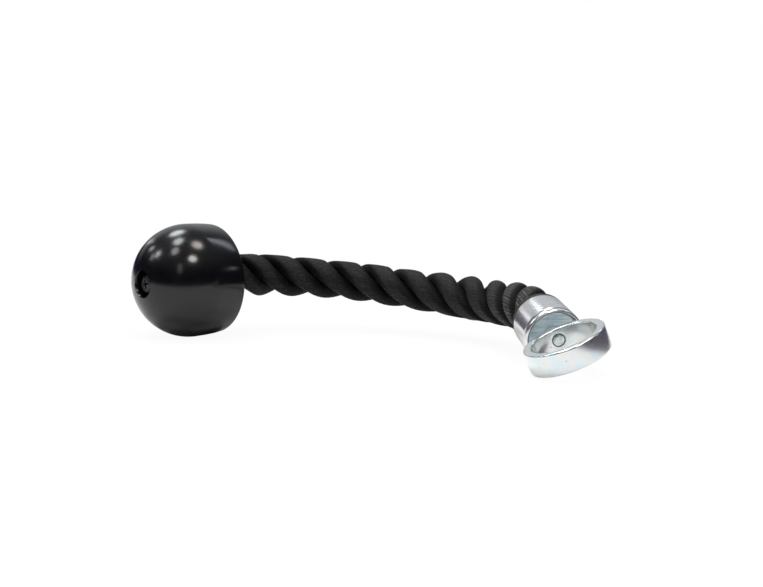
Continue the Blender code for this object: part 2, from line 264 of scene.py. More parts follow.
# How thick the rope is, and how far its middle is raised, along its length
THICK_AT = (0, 0.0149, 0.025, 0.06, 0.10, 0.15, 0.20, 0.235, 0.26, 0.284, 0.291, 0.2955, 0.31)
THICK = (0.985, 0.985, 1.09, 1.04, 0.965, 0.975, 1.055, 1.045, 1.11, 1.12, 1.11, 0.975, 0.975)
RAISE_MM = (0, 0, 0.3, -0.85, -0.85, -0.6, -0.25, 0.8, 2.6, 2.0, 1.2, 0, 0)
# How far the grooves are closed at the sides, above and below, and how the lay wanders
CLOSE_AT = (0.0, 0.07, 0.14, 0.21, 0.25, 0.31)
CLOSE_SIDES = 0.72
CLOSE_BOTH = (0.6, 0.2, 0.45, 0.7, 0.7, 0.7)
CLOSE_TOP = (0.7, 0.7, 0.45, -0.45, -0.05, 0.25)
WANDER = (-0.40, -0.01, 0.17, -0.13, -0.03, -0.05)


def along_rope(places, values):
    """Values between the given places, one for each point of the route."""
    fine = np.interp(rope_run, places, values)
    for _ in range(3):
        fine[1:-1] = (fine[:-2] + 2 * fine[1:-1] + fine[2:]) / 4
    return fine


thick = along_rope(THICK_AT, THICK)
rope_middle = rope_line.copy()
rope_middle[:, 2] += along_rope(THICK_AT, RAISE_MM) * MM
close_both = along_rope(CLOSE_AT, CLOSE_BOTH)[:, None]
close_top = along_rope(CLOSE_AT, CLOSE_TOP)[:, None]
lay_angle = lay_angle + along_rope(CLOSE_AT, WANDER)
risen = ease(rope_run, *YARNS_RISE)
yarn_height = YARN_HEIGHT + (YARN_HEIGHT_END - YARN_HEIGHT) * risen


def strand_mesh(number):
    """Rows of points along the yarns of one strand, and the faces between them."""
    around = YARNS * ROWS_PER_YARN
    phase = np.arange(around) / around
    yarn_top = np.abs(np.sin(phase * YARNS * math.pi)) ** 0.6
    yarn_turn = lay_angle * YARN_RATE
    own = phase[None, :] * math.tau + yarn_turn[:, None]
    middle = lay_angle[:, None] + number * math.tau / STRANDS
    turned = own - middle
    reach = 1 / np.sqrt((np.cos(turned) / STRAND_DEEP) ** 2 + (np.sin(turned) / STRAND_WIDE) ** 2)
    reach = reach - yarn_height[:, None] * (1 - yarn_top)[None, :]
    across = STRAND_OFF * np.cos(middle) + reach * np.cos(own)
    upward = STRAND_OFF * np.sin(middle) + reach * np.sin(own)
    radius = np.hypot(across, upward)
    heading = np.arctan2(upward, across)
    away = (
        np.cos(heading)[:, :, None] * side[:, None, :]
        + np.sin(heading)[:, :, None] * lift[:, None, :]
    )
    # How far a point is out of painted shade: 0 deep in a groove, and lower between the yarns
    unshaded = ease(radius / ROPE_CREST, 0.77, 0.97)
    unshaded *= 1 - (1 - yarn_top)[None, :] * (0.3 + 0.7 * risen)[:, None]
    steep = away[:, :, 2]
    closed = CLOSE_SIDES * (1 - steep**2) + close_both * steep**2 + close_top * steep
    shell = ease(radius / ROPE_CREST, 0.35, 0.80)
    radius = (radius + closed * (ROPE_CREST - radius) * shell) * thick[:, None]
    points = rope_middle[:, None, :] + away * radius[:, :, None]
    rings = len(rope_line)
    grid = np.arange(rings * around).reshape(rings, around)
    after = np.roll(grid, -1, axis=1)
    quads = np.stack([grid[:-1], after[:-1], after[1:], grid[1:]], axis=-1).reshape(-1, 4)
    caps = [list(map(int, grid[0][::-1])), list(map(int, grid[-1]))]
    run = np.repeat(rope_run[:, None], around, axis=1)
    turns = np.repeat(phase[None, :], rings, axis=0)
    return points.reshape(-1, 3), quads.tolist() + caps, run.ravel(), turns.ravel(), unshaded.ravel()


def rope_mesh():
    """All strands in one mesh, with the yarns' map and how far each point is out of painted shade.
    """
    points, faces, runs, turns, unshaded_parts = [], [], [], [], []
    start = 0
    for number in range(STRANDS):
        p, f, r, t, strand_unshaded = strand_mesh(number)
        points.append(p)
        faces += [[index + start for index in face] for face in f]
        runs.append(r)
        turns.append(t + number * APART)
        unshaded_parts.append(strand_unshaded)
        start += len(p)
    mesh = bpy.data.meshes.new("laid_rope")
    mesh.from_pydata(np.concatenate(points).tolist(), [], faces)
    runs, turns = np.concatenate(runs), np.concatenate(turns)
    corner = np.zeros(len(mesh.loops), np.int32)
    mesh.loops.foreach_get("vertex_index", corner)
    along_yarn = mesh.uv_layers.new(name="along_yarn")
    along_yarn.data.foreach_set("uv", np.stack([runs[corner], turns[corner]], 1).ravel())
    out_of_groove_shade = mesh.attributes.new("out_of_groove_shade", "FLOAT", "POINT")
    out_of_groove_shade.data.foreach_set("value", np.concatenate(unshaded_parts).astype(np.float32))
    mesh.shade_smooth()
    return mesh


rope = bpy.data.objects.new("laid_rope", rope_mesh())
bpy.context.scene.collection.objects.link(rope)
print("laid rope:", len(rope.data.polygons), "faces")

# %% [markdown]
# ## Helpers for turned pieces
#
# The other pieces come from a lathe or a mould with a round parting. Each starts as a
# circle primitive, whose edge is extruded, moved along the axis and scaled, one step
# for each corner of the outline. That is how a turned part is drawn by hand, and it
# keeps the faces in clean rings. Finished, the piece is moved to its axis, and its
# place is applied to its mesh.

# %% Turning helpers


def only(piece):
    """Selects this piece alone and makes it the active one."""
    bpy.ops.object.select_all(action="DESELECT")
    piece.select_set(True)
    bpy.context.view_layer.objects.active = piece


def arc(centre_z, centre_r, radius, start, end, steps):
    """Outline points of an arc, with angles in degrees from the axis outwards."""
    points = []
    for step in range(steps + 1):
        angle = math.radians(start + (end - start) * step / steps)
        points.append((centre_z + radius * math.cos(angle), centre_r + radius * math.sin(angle)))
    return points


def turn_piece(name, outline, place, sides=128, sharp=32.0):
    """Extrudes a circle along an outline of (distance, radius) points.

    An outline that starts and ends on the axis is closed with a face at each end, and any
    other is closed on itself, as a ring is. Edges past the angle sharp stay crisp.
    """
    first_z, first_r = outline[0]
    closed = first_r > 0
    points = outline if closed else outline[1:-1]
    bpy.ops.object.select_all(action="DESELECT")
    bpy.ops.mesh.primitive_circle_add(
        vertices=sides, radius=points[0][1], location=(0, 0, 0), fill_type="NOTHING"
    )
    piece = bpy.context.object
    piece.name = piece.data.name = name
    bpy.ops.object.mode_set(mode="EDIT")
    bpy.ops.mesh.select_all(action="SELECT")
    bpy.ops.transform.translate(value=(0, 0, points[0][0]))
    if not closed:
        bpy.ops.mesh.edge_face_add()
        bpy.ops.mesh.inset(thickness=points[0][1] * 0.5)
        bpy.ops.mesh.select_all(action="DESELECT")
        pick_ring(piece, points[0])
    steps = list(zip(points, points[1:])) + ([(points[-1], points[0])] if closed else [])
    for (z0, r0), (z1, r1) in steps:
        bpy.ops.mesh.extrude_region_move(TRANSFORM_OT_translate={"value": (0, 0, z1 - z0)})
        scale = r1 / r0
        bpy.ops.transform.resize(value=(scale, scale, 1), center_override=(0, 0, z1))
    if not closed:
        bpy.ops.mesh.edge_face_add()
        bpy.ops.mesh.inset(thickness=points[-1][1] * 0.5)
    bpy.ops.mesh.select_all(action="SELECT")
    bpy.ops.mesh.remove_doubles(threshold=1e-6)
    bpy.ops.mesh.normals_make_consistent(inside=False)
    bpy.ops.object.mode_set(mode="OBJECT")
    write_turned_uv(piece)
    set_place(piece, place)
    bpy.ops.object.shade_smooth_by_angle(angle=math.radians(sharp))
    return piece


def pick_ring(piece, point):
    """Selects the ring of edges at one outline point."""
    z, r = point
    shape = bmesh.from_edit_mesh(piece.data)
    for edge in shape.edges:
        if all(
            abs(v.co.z - z) < 1e-6 and abs(math.hypot(v.co.x, v.co.y) - r) < 1e-6
            for v in edge.verts
        ):
            edge.select_set(True)
    bmesh.update_edit_mesh(piece.data)


def write_turned_uv(piece):
    """A UV map in metres: the way round, and the distance along or out from the axis."""
    layer = piece.data.uv_layers.get("turned") or piece.data.uv_layers.new(name="turned")
    for face in piece.data.polygons:
        angles = []
        for index in face.loop_indices:
            co = piece.data.vertices[piece.data.loops[index].vertex_index].co
            angles.append(math.atan2(co.y, co.x))
        low = min(angles)
        for index, angle in zip(face.loop_indices, angles):
            co = piece.data.vertices[piece.data.loops[index].vertex_index].co
            if max(angles) - low > math.pi and angle < 0:
                angle += math.tau
            radius = math.hypot(co.x, co.y)
            layer.data[index].uv = (angle / math.tau, co.z + radius)


def set_place(piece, place):
    """Moves the piece to its axis and applies that to its mesh."""
    only(piece)
    piece.matrix_world = place
    bpy.ops.object.transform_apply(location=True, rotation=True, scale=True)


def finish_piece(piece, body, stands_for, finish):
    """Gives the piece its material, hangs it on its body's empty, and hides the solids it stands
    for.
    """
    piece.data.materials.clear()
    piece.data.materials.append(finish)
    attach(piece, body)
    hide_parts(*stands_for)
    print(piece.name, len(piece.data.polygons), "faces")


# %% [markdown]
# ## Moulded rubber
#
# The ball is black rubber from a polished mould. Rubber is a dielectric with an IOR of
# about 1.5, satin rather than glossy, so lamps show in it as soft spots. The mould
# leaves a fine orange peel, drawn here at 1.6 mm, which is coarser than it is, so that
# it shows at all, and handling leaves duller smears about 20 mm wide.

# %% Rubber material
rubber, tree, shader = new_material("moulded_rubber", IOR=1.5, Specular_IOR_Level=0.42)
place = add_node(tree, "ShaderNodeTexCoord").outputs["Object"]
smears = add_node(
    tree,
    "ShaderNodeTexNoise",
    inputs={"Vector": place, "Scale": 1 / (22 * MM), "Detail": 4.0, "Roughness": 0.6},
).outputs["Fac"]
shade = ramp(tree, smears, [(0.3, "070708"), (0.7, "0C0C0D")])
gloss = add_node(
    tree,
    "ShaderNodeMapRange",
    inputs={"Value": smears, "From Min": 0.35, "From Max": 0.7, "To Min": 0.15, "To Max": 0.23},
).outputs["Result"]
peel = add_node(
    tree, "ShaderNodeTexNoise", inputs={"Vector": place, "Scale": 1 / (1.6 * MM), "Detail": 2.0}
).outputs["Fac"]
bump = add_node(
    tree, "ShaderNodeBump", inputs={"Height": peel, "Strength": 0.05, "Distance": 0.2 * MM}
).outputs["Normal"]
tree.links.new(shade, shader.inputs["Base Color"])
tree.links.new(gloss, shader.inputs["Roughness"])
tree.links.new(bump, shader.inputs["Normal"])
print(rubber.name, len(tree.nodes), "nodes")

# %% [markdown]
# ## End ball
#
# A half-round dome, a short skirt that closes in by a millimetre, and a flat rear face
# with a bore for the rope. The dome is open at its pole, where the screw sits in a
# recess with a small rounded lip. Inside, a tapered socket holds the opened rope end.
# The outline starts at the lip, goes over the dome and back along the bore.

# %% Ball
DOME = 37.0 * MM
OVERSIZE = 1.015
LIP = 0.8 * MM
RECESS = 8.1 * MM
RECESS_FLOOR = 9.5 * MM
SOCKET = 18.5 * MM
BORE = 13.3 * MM
REAR_EDGE = 2.0 * MM
BORE_EDGE = 1.4 * MM
lip_angle = math.degrees(math.asin((RECESS + LIP) / DOME))
ball_outline = [
    *arc(DOME, 0.0, DOME, 180 - lip_angle, 90, 28),
    (DOME + 8 * MM, 36.75 * MM),
    (DOME + 14 * MM, 36.3 * MM),
    *arc(BALL_REAR - REAR_EDGE, 33.75 * MM, REAR_EDGE, 84, 0, 6),
    *arc(BALL_REAR - BORE_EDGE, BORE + BORE_EDGE, BORE_EDGE, 0, -90, 4),
    (BALL_REAR - 12 * MM, BORE),
    (BALL_REAR - 13.5 * MM, BORE),
    (SOCKET, 16.7 * MM),
    (SOCKET, 3.0 * MM),
    (RECESS_FLOOR, 3.0 * MM),
    (RECESS_FLOOR, RECESS),
    (3.4 * MM, RECESS),
    (2.0 * MM, RECESS + 0.15 * MM),
]
# The finished ball is a little larger than its solid, so it is grown about its middle
ball_outline = [(DOME + (z - DOME) * OVERSIZE, r * OVERSIZE) for z, r in ball_outline]
ball = turn_piece("rubber_ball", ball_outline, BALL, sides=160)
finish_piece(ball, "rope_handle", ["end_ball"], rubber)

# %% [markdown]
# ## Metals
#
# The ferrule, the ring and the plate are steel with a bright zinc plate. Zinc is a cool,
# pale metal, and its clear passivation leaves faint patches of blue, pink and straw.
# The turning leaves fine lines round the piece, drawn at 0.35 mm, and handling leaves
# pits. The plate is cut from drawn strip, so long streaks run across it. The lines follow
# the piece's own UV map, and the rest follows its place in the object.
#
# The ferrule's wall is turned so finely that it smears what it mirrors along the axis.
# That is its anisotropy, which takes its direction from the same UV map. The plate and
# the wall aren't wholly metallic here, because the cloudy passivation scatters light.

# %% Zinc material


def zinc_plate(name, tints, rough, line_depth, scratches=0.0, pits=0.0, **constants):
    """Zinc plate. tints are four hex colours, rough is (low, high)."""
    made, tree, shader = new_material(name, **{"Metallic": 1.0, **constants})
    place = add_node(tree, "ShaderNodeTexCoord").outputs["Object"]
    cloud = add_node(
        tree,
        "ShaderNodeTexNoise",
        inputs={"Vector": place, "Scale": 1 / (11 * MM), "Detail": 3.0, "Roughness": 0.55},
    ).outputs["Fac"]
    tint = ramp(tree, cloud, list(zip((0.34, 0.45, 0.55, 0.68), tints)))
    grain = add_node(
        tree,
        "ShaderNodeTexNoise",
        inputs={"Vector": place, "Scale": 1 / (2.4 * MM), "Detail": 5.0, "Roughness": 0.65},
    ).outputs["Fac"]
    gloss = add_node(
        tree,
        "ShaderNodeMapRange",
        inputs={
            "Value": grain,
            "From Min": 0.3,
            "From Max": 0.7,
            "To Min": rough[0],
            "To Max": rough[1],
        },
    ).outputs["Result"]
    turned = add_node(tree, "ShaderNodeUVMap", {"uv_map": "turned"}).outputs["UV"]
    stretched = add_node(
        tree, "ShaderNodeMapping", inputs={"Vector": turned, "Scale": (5.0, 1 / (0.35 * MM), 1.0)}
    ).outputs["Vector"]
    lines = add_node(
        tree, "ShaderNodeTexNoise", inputs={"Vector": stretched, "Scale": 1.0, "Detail": 3.0}
    ).outputs["Fac"]
    height = add_node(
        tree,
        "ShaderNodeMath",
        {"operation": "MULTIPLY_ADD"},
        {0: grain, 1: 0.6, 2: lines},
    ).outputs["Value"]
    if scratches:
        drawn = add_node(
            tree,
            "ShaderNodeMapping",
            inputs={
                "Vector": place,
                "Rotation": (0.0, math.radians(-12), 0.0),
                "Scale": (1 / (26 * MM), 1 / (5 * MM), 1 / (1.5 * MM)),
            },
        ).outputs["Vector"]
        streak = add_node(
            tree,
            "ShaderNodeTexNoise",
            inputs={"Vector": drawn, "Scale": 1.0, "Detail": 2.0, "Distortion": 0.5},
        ).outputs["Fac"]
        mark = ramp(
            tree,
            streak,
            [
                (0.36, "B8CACD"),
                (0.44, "E8F0F1"),
                (0.56, "FFFFFF"),
                (0.62, "C0D0D4"),
                (0.70, "FFFFFF"),
            ],
        )
        tint = add_node(
            tree,
            "ShaderNodeMix",
            {"data_type": "RGBA", "blend_type": "MULTIPLY"},
            {"Factor": scratches, "A": tint, "B": mark},
        ).outputs["Result"]
    if pits:
        speck = add_node(
            tree,
            "ShaderNodeTexVoronoi",
            {"feature": "F1"},
            {"Vector": place, "Scale": 1 / (5.5 * MM)},
        ).outputs["Distance"]
        dark = ramp(tree, speck, [(0.05, "4A5458"), (0.09, "FFFFFF")])
        tint = add_node(
            tree,
            "ShaderNodeMix",
            {"data_type": "RGBA", "blend_type": "MULTIPLY"},
            {"Factor": pits, "A": tint, "B": dark},
        ).outputs["Result"]
    bump = add_node(
        tree,
        "ShaderNodeBump",
        inputs={"Height": height, "Strength": line_depth, "Distance": 0.05 * MM},
    ).outputs["Normal"]
    tree.links.new(tint, shader.inputs["Base Color"])
    tree.links.new(gloss, shader.inputs["Roughness"])
    tree.links.new(bump, shader.inputs["Normal"])
    if "Anisotropic" in constants:
        lay = add_node(tree, "ShaderNodeTangent", {"direction_type": "UV_MAP", "uv_map": "turned"})
        tree.links.new(lay.outputs["Tangent"], shader.inputs["Tangent"])
    print(made.name, len(tree.nodes), "nodes")
    return made


zinc_ferrule = zinc_plate(
    "turned_zinc_plated_tube",
    ("D0D4DA", "D8D6DE", "DAD8D6", "D2D8DA"),
    (0.20, 0.26),
    0.03,
    Metallic=0.86,
    Anisotropic=0.75,
    Anisotropic_Rotation=0.25,
)
zinc_lip = zinc_plate(
    "polished_zinc_lip",
    ("D2D6DA", "DCDCE0", "DEDCDA", "D0D8DA"),
    (0.20, 0.28),
    0.03,
    Metallic=0.9,
)
# A dark zinc for the ferrule's groove and the lip's inner edge: painted shade
zinc_painted_shade = zinc_plate(
    "painted_shade_zinc", ("6C7478", "7C8084", "747A7A", "686E72"), (0.26, 0.40), 0.1
)
zinc_ring = zinc_plate(
    "zinc_plated_ring",
    ("D2E0E2", "DCE0E2", "DEE0DA", "D2E0E4"),
    (0.16, 0.22),
    0.03,
    pits=0.8,
    Metallic=0.89,
)
zinc_disc = zinc_plate(
    "zinc_plated_disc",
    ("DEF0F4", "EAF4F6", "DCEEF2", "F2F8F8"),
    (0.24, 0.38),
    0.10,
    scratches=0.6,
    Metallic=0.25,
)
rivet_steel = zinc_plate(
    "turned_rivet_steel", ("C8C9C4", "D2D2CC", "BFC4C2", "CCD2D2"), (0.20, 0.34), 0.12, pits=0.5
)

# %% [markdown]
# ## Ferrule
#
# A short steel tube, a little wider at its mouth than at the rope. Its mouth is rolled
# over in a rounded lip behind a narrow groove, and the end plate sits a few millimetres
# inside it. The lip is polished by use and catches a bright line of light, so it has its
# own finish. The groove and the lip's inner edge get a dark zinc that is painted shade.

# %% Ferrule
CHAMBER = 15.7 * MM
LIP_START = 25.5 * MM
PLATE_IN = 22.2 * MM
PLATE_OUT = 24.7 * MM
LIP_FINISH, PAINTED_SHADE_FINISH = 1, 2
# From the groove behind the lip, over the lip, and down to the chamber, in millimetres
GROOVE = ((24.6, 18.18), (25.0, 17.7), (25.4, 17.4), (25.8, 17.75), (26.4, 18.12))
BEAD = ((27.1, 18.2), (27.8, 18.12), (28.4, 17.9), (28.85, 17.55), (29.12, 17.2), (29.2, 16.95))
INNER_EDGE = ((29.1, 16.7), (28.9, 16.35), (28.65, 16.05), (28.3, 15.82), (27.8, 15.7))
ferrule_outline = [
    (0.6 * MM, 14.3 * MM),
    (0.0, 14.9 * MM),
    *arc(0.7 * MM, 16.5 * MM, 0.7 * MM, 180, 90, 4),
    *[(z * MM, r * MM) for z, r in (*GROOVE, *BEAD, *INNER_EDGE)],
    (PLATE_IN - 0.3 * MM, CHAMBER),
    (PLATE_IN - 0.3 * MM, 14.3 * MM),
]
ferrule = turn_piece("steel_ferrule", ferrule_outline, FERRULE, sides=192, sharp=40)
finish_piece(ferrule, "rope_handle", ["ferrule"], zinc_ferrule)
ferrule.data.materials.append(zinc_lip)
ferrule.data.materials.append(zinc_painted_shade)
to_ferrule = FERRULE.inverted()
for face in ferrule.data.polygons:
    spot = to_ferrule @ face.center
    out = math.hypot(spot.x, spot.y)
    if spot.z > LIP_START - 1.0 * MM or out < CHAMBER + 0.3 * MM:
        face.material_index = LIP_FINISH
    # Faces in the groove and inside the lip get the dark zinc of painted shade
    in_groove = LIP_START - 0.6 * MM < spot.z < LIP_START + 0.3 * MM and out > 17.0 * MM
    inside_lip = spot.z > 28.3 * MM and out < 16.8 * MM
    if in_groove or inside_lip:
        face.material_index = PAINTED_SHADE_FINISH

# %% End plate
HOLE = 5.06 * MM
plate_outline = [
    (PLATE_IN, HOLE),
    (PLATE_IN, 15.4 * MM),
    (PLATE_OUT - 0.3 * MM, 15.4 * MM),
    (PLATE_OUT, 15.1 * MM),
    (PLATE_OUT, HOLE + 0.4 * MM),
    (PLATE_OUT - 0.4 * MM, HOLE),
]
plate = turn_piece("steel_end_plate", plate_outline, FERRULE, sides=96)
finish_piece(plate, "rope_handle", ["end_plate"], zinc_disc)

# %% [markdown]
# ## Rivet and collar
#
# The rivet's ball head sits behind the end plate, and its other end is flared in the
# ring's wall. A plain collar on it keeps the ring clear of the ferrule's lip.

# %% Rivet and collar
RING_FACE = 18.7 * MM
TIP = RING_FACE + 4.9 * MM
HEAD = 6.715 * MM
rivet_outline = [
    (-1.0 * MM, 0.0),
    (-1.0 * MM, 6.64 * MM),
    *arc(0.0, 0.0, HEAD, 90, 28, 10),
    (TIP - 2.0 * MM, 3.0 * MM),
    (TIP - 0.5 * MM, 3.6 * MM),
    (TIP - 0.12 * MM, 3.55 * MM),
    (TIP + 0.05 * MM, 3.2 * MM),
    (TIP + 0.05 * MM, 0.0),
]
rivet = turn_piece("swivel_pin", rivet_outline, RIVET, sides=64)
finish_piece(rivet, "hanger", ["swivel_rivet"], rivet_steel)
collar_outline = [
    (9.6 * MM, 3.3 * MM),
    (9.6 * MM, 4.7 * MM),
    (9.9 * MM, 5.0 * MM),
    (18.1 * MM, 5.0 * MM),
    (18.4 * MM, 4.7 * MM),
    (18.4 * MM, 3.3 * MM),
]
collar = turn_piece("ring_collar", collar_outline, RIVET, sides=64)
finish_piece(collar, "hanger", ["spacer_collar"], zinc_disc)

# %% [markdown]
# ## Ring
#
# The ring is a slice of steel pipe with its edges broken. It is turned about its own
# axis, and the hole for the rivet is then drilled through its wall with a Boolean,
# which is applied, so that the finished mesh stands by itself. The hole is wider inside,
# where the rivet's end is flared, and that leaves a dark circle round it.

# %% Ring
RING_OUT = 24.8 * MM
RING_IN = 19.9 * MM
HALF = 7.0 * MM
EDGE = 1.1 * MM
INNER = 0.8 * MM
HOLE_IN, HOLE_OUT = 3.45 * MM, 4.15 * MM
ring_outline = [
    *arc(-HALF + EDGE, RING_OUT - EDGE, EDGE, 180, 90, 5),
    *arc(HALF - EDGE, RING_OUT - EDGE, EDGE, 90, 0, 5),
    *arc(HALF - INNER, RING_IN + INNER, INNER, 0, -90, 5),
    *arc(-HALF + INNER, RING_IN + INNER, INNER, -90, -180, 5),
]
ring = turn_piece("steel_ring", ring_outline, RING, sides=256)
drill_outline = [
    (14 * MM, 0.0),
    (14 * MM, HOLE_IN),
    (TIP - 2.4 * MM, HOLE_IN),
    (TIP - 0.6 * MM, HOLE_OUT),
    (TIP + 6 * MM, HOLE_OUT),
    (TIP + 6 * MM, 0.0),
]
drill = turn_piece("drill", drill_outline, RIVET, sides=64)
hole = ring.modifiers.new("rivet_hole", "BOOLEAN")
hole.operation = "DIFFERENCE"
hole.solver = "EXACT"
hole.object = drill
only(ring)
bpy.ops.object.modifier_apply(modifier="rivet_hole")
bpy.data.objects.remove(drill, do_unlink=True)
only(ring)
bpy.ops.object.shade_smooth_by_angle(angle=math.radians(32))
finish_piece(ring, "hanger", ["hanger_ring"], zinc_ring)

# %% [markdown]
# ## Screw and washer
#
# The ball is held by a blackened screw with a domed head and a cross recess. The head
# is turned, and the cross is two tapered slots, cut with a Boolean and applied. Black
# oxide is thin, so its film is worn unevenly and shows the steel's own shine through.

# %% Black oxide material
black_oxide, tree, shader = new_material("black_oxide_steel", Metallic=1.0)
place = add_node(tree, "ShaderNodeTexCoord").outputs["Object"]
wear = add_node(
    tree, "ShaderNodeTexNoise", inputs={"Vector": place, "Scale": 1 / (1.5 * MM), "Detail": 4.0}
).outputs["Fac"]
tree.links.new(ramp(tree, wear, [(0.4, "262627"), (0.68, "4C4C4E")]), shader.inputs["Base Color"])
tree.links.new(
    add_node(
        tree, "ShaderNodeMapRange", inputs={"Value": wear, "To Min": 0.34, "To Max": 0.5}
    ).outputs["Result"],
    shader.inputs["Roughness"],
)
print(black_oxide.name, len(tree.nodes), "nodes")

# %% Screw
CROWN = 2.9 * MM
SHARP_EDGE = math.radians(32)
CROSS_TURNS = {"slot_a": math.radians(-12), "slot_b": math.radians(78)}
screw_outline = [
    (CROWN, 0.0),
    (CROWN, 2.6 * MM),
    *arc(CROWN + 2.2 * MM, 4.0 * MM, 2.2 * MM, 170, 92, 5),
    (CROWN + 3.6 * MM, 6.2 * MM),
    (CROWN + 4.0 * MM, 6.0 * MM),
    (CROWN + 4.0 * MM, 2.4 * MM),
    (CROWN + 29.6 * MM, 2.4 * MM),
    (CROWN + 32.0 * MM, 0.3 * MM),
    (CROWN + 32.0 * MM, 0.0),
]
screw = turn_piece("cross_head_screw", screw_outline, BALL, sides=64)


def cross_arm(name, turn):
    """A tapered slot: a cube, scaled at its place, with its inner end drawn in."""
    bpy.ops.object.select_all(action="DESELECT")
    bpy.ops.mesh.primitive_cube_add(size=1.0)
    arm = bpy.context.object
    arm.name = name
    bpy.ops.object.mode_set(mode="EDIT")
    bpy.ops.mesh.select_all(action="SELECT")
    bpy.ops.transform.resize(value=(7.4 * MM, 1.5 * MM, 4.0 * MM))
    bpy.ops.transform.translate(value=(0, 0, CROWN + 0.8 * MM))
    bpy.ops.mesh.select_all(action="DESELECT")
    shape = bmesh.from_edit_mesh(arm.data)
    for vert in shape.verts:
        if vert.co.z > CROWN:
            vert.select_set(True)
    bmesh.update_edit_mesh(arm.data)
    bpy.ops.transform.resize(value=(0.45, 0.6, 1.0), center_override=(0, 0, CROWN))
    bpy.ops.object.mode_set(mode="OBJECT")
    set_place(arm, BALL @ Matrix.Rotation(turn, 4, "Z"))
    return arm


for name, turn in CROSS_TURNS.items():
    arm = cross_arm(name, turn)
    slot = screw.modifiers.new(name, "BOOLEAN")
    slot.operation = "DIFFERENCE"
    slot.solver = "EXACT"
    slot.object = arm
    only(screw)
    bpy.ops.object.modifier_apply(modifier=name)
    bpy.data.objects.remove(arm, do_unlink=True)
only(screw)
bpy.ops.object.shade_smooth_by_angle(angle=math.radians(32))
finish_piece(screw, "rope_handle", ["ball_screw"], black_oxide)

# %% Washer
washer_outline = [
    (7.6 * MM, 2.8 * MM),
    (7.6 * MM, 7.8 * MM),
    (7.8 * MM, 8.0 * MM),
    (9.2 * MM, 8.0 * MM),
    (9.2 * MM, 2.8 * MM),
]
washer = turn_piece("screw_washer", washer_outline, BALL, sides=64)
finish_piece(washer, "rope_handle", ["ball_washer"], black_oxide)

# %% [markdown]
# ## Tape
#
# The rope's end is bound with black waxed cloth tape before it goes into the ferrule,
# and a thick rim of it is squeezed out behind the ferrule, more on one side than on the
# other, so its points are shifted a little. The cloth is a plain weave with a thread
# every 0.8 mm, and wax and dust fill it unevenly.

# %% Tape
THREAD = 0.8 * MM
SQUEEZED = Vector((0.5 * MM, 0.35 * MM, 0))
cloth, tree, shader = new_material("waxed_cloth_tape", IOR=1.48)
weave_uv = add_node(tree, "ShaderNodeUVMap", {"uv_map": "turned"}).outputs["UV"]
weave_at = add_node(
    tree,
    "ShaderNodeMapping",
    inputs={"Vector": weave_uv, "Scale": (math.tau * 14 * MM / THREAD, 1 / THREAD, 1.0)},
).outputs["Vector"]
weave = add_node(
    tree, "ShaderNodeTexChecker", inputs={"Vector": weave_at, "Scale": 1.0}
).outputs["Fac"]
fuzz = add_node(
    tree,
    "ShaderNodeTexNoise",
    inputs={
        "Vector": add_node(tree, "ShaderNodeTexCoord").outputs["Object"],
        "Scale": 1 / (1.2 * MM),
        "Detail": 4.0,
    },
).outputs["Fac"]
tree.links.new(ramp(tree, fuzz, [(0.35, "1A1913"), (0.7, "35332A")]), shader.inputs["Base Color"])
woven = add_node(tree, "ShaderNodeMath", {"operation": "ADD"}, {0: weave, 1: fuzz})
bump = add_node(
    tree,
    "ShaderNodeBump",
    inputs={"Height": woven.outputs["Value"], "Strength": 0.5, "Distance": 0.15 * MM},
).outputs["Normal"]
tree.links.new(bump, shader.inputs["Normal"])
shader.inputs["Roughness"].default_value = 0.6
tape_outline = [
    (-2.9 * MM, 14.6 * MM),
    (-2.6 * MM, 16.0 * MM),
    (-1.9 * MM, 16.8 * MM),
    (-0.8 * MM, 17.0 * MM),
    (-0.1 * MM, 16.4 * MM),
    (-0.1 * MM, 14.0 * MM),
    (11.3 * MM, 14.0 * MM),
    (11.3 * MM, 13.15 * MM),
    (-0.6 * MM, 13.15 * MM),
]
tape = turn_piece("binding_tape", tape_outline, FERRULE, sides=96)
for vert in tape.data.vertices:
    spot = to_ferrule @ vert.co
    if spot.z < 0 and math.hypot(spot.x, spot.y) > 14.2 * MM:
        vert.co += FERRULE.to_3x3() @ SQUEEZED
finish_piece(tape, "rope_handle", ["rope_tape"], cloth)

# %% [markdown]
# ## Rope fibre
#
# The fibre is spun black polypropylene: matt, with a slight sheen along the threads.
# The yarns are real ridges, so the material only adds what is finer: filaments that
# run along each yarn, a few faded ones, and the dust that sits on them. Filaments are
# thinner than a tenth of a millimetre, so they are drawn about three times as coarse.
# The grooves and the gaps between the yarns are painted near black, as painted shade, and
# by the ferrule, where hands don't reach, the dust has made the yarns paler.

# %% Rope material
DUSTY = (0.225, 0.275)
fibre, tree, shader = new_material(
    "spun_black_fibre",
    IOR=1.49,
    Specular_IOR_Level=0.15,
    Roughness=0.6,
    Sheen_Weight=0.03,
    Sheen_Roughness=0.45,
)
along = add_node(tree, "ShaderNodeUVMap", {"uv_map": "along_yarn"}).outputs["UV"]
filament_at = add_node(
    tree, "ShaderNodeMapping", inputs={"Vector": along, "Scale": (1 / (5 * MM), 140.0, 1.0)}
).outputs["Vector"]
filaments = add_node(
    tree, "ShaderNodeTexNoise", inputs={"Vector": filament_at, "Scale": 1.0, "Detail": 4.0}
).outputs["Fac"]
yarn_at = add_node(
    tree, "ShaderNodeMapping", inputs={"Vector": along, "Scale": (1 / (40 * MM), float(YARNS), 1.0)}
).outputs["Vector"]
faded = add_node(
    tree, "ShaderNodeTexNoise", inputs={"Vector": yarn_at, "Scale": 1.0, "Detail": 2.0}
).outputs["Fac"]
